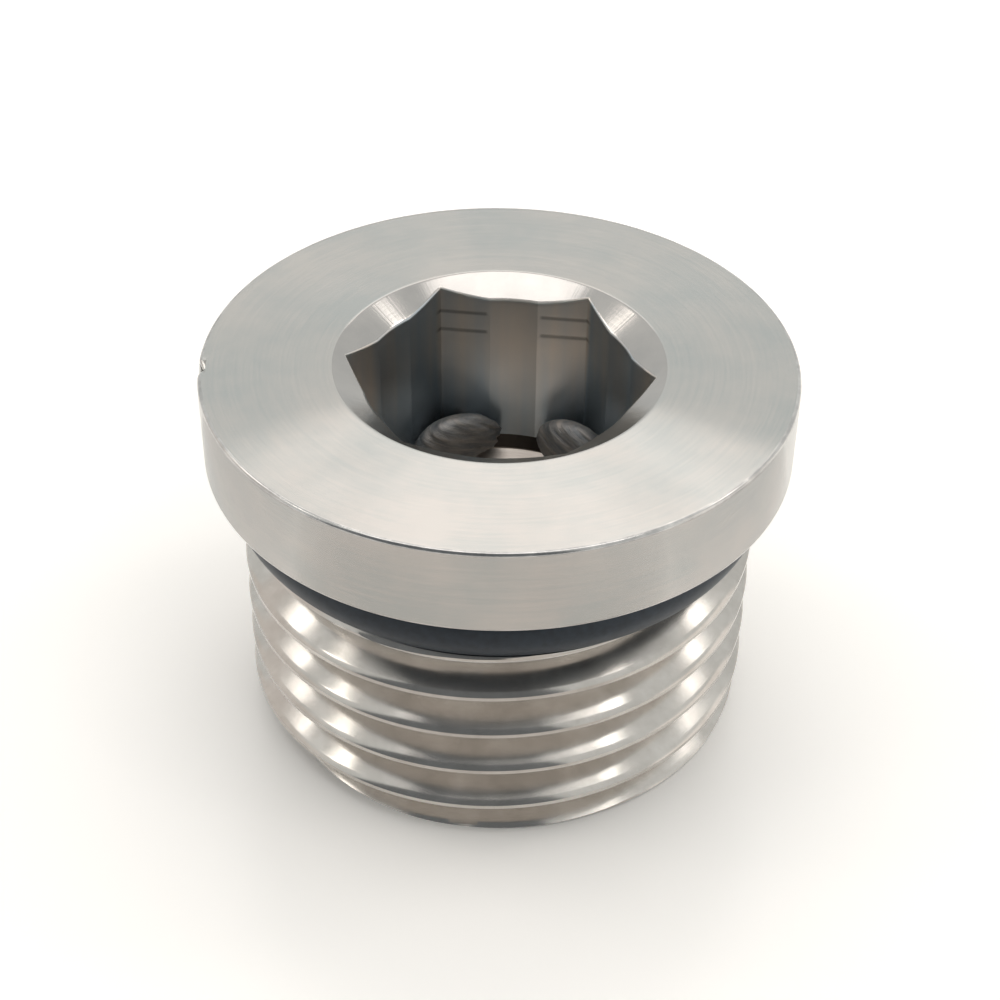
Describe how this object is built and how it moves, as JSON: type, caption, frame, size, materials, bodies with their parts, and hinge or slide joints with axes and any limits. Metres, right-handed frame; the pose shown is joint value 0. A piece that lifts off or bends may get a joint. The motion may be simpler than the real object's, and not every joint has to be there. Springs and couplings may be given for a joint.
{
  "type": "hex socket plug",
  "caption": "Flanged screw plug with a hexagon socket in its round head, an external right-hand thread and an O-ring seated under the head.",
  "frame": {"origin": "centre of the thread's end face, which the plug stands on", "axes": "+Z along the screw axis towards the head, +Y square to one pair of the hexagon's flats"},
  "size_m": [0.018, 0.018, 0.0121],
  "materials": {
    "turned_steel": "bright turned, with fine tool marks",
    "seal_rubber": "smooth black elastomer"
  },
  "bodies": {
    "root": {"plug_body": "turned_steel", "sealing_ring": "seal_rubber"}
  },
  "joints": []
}
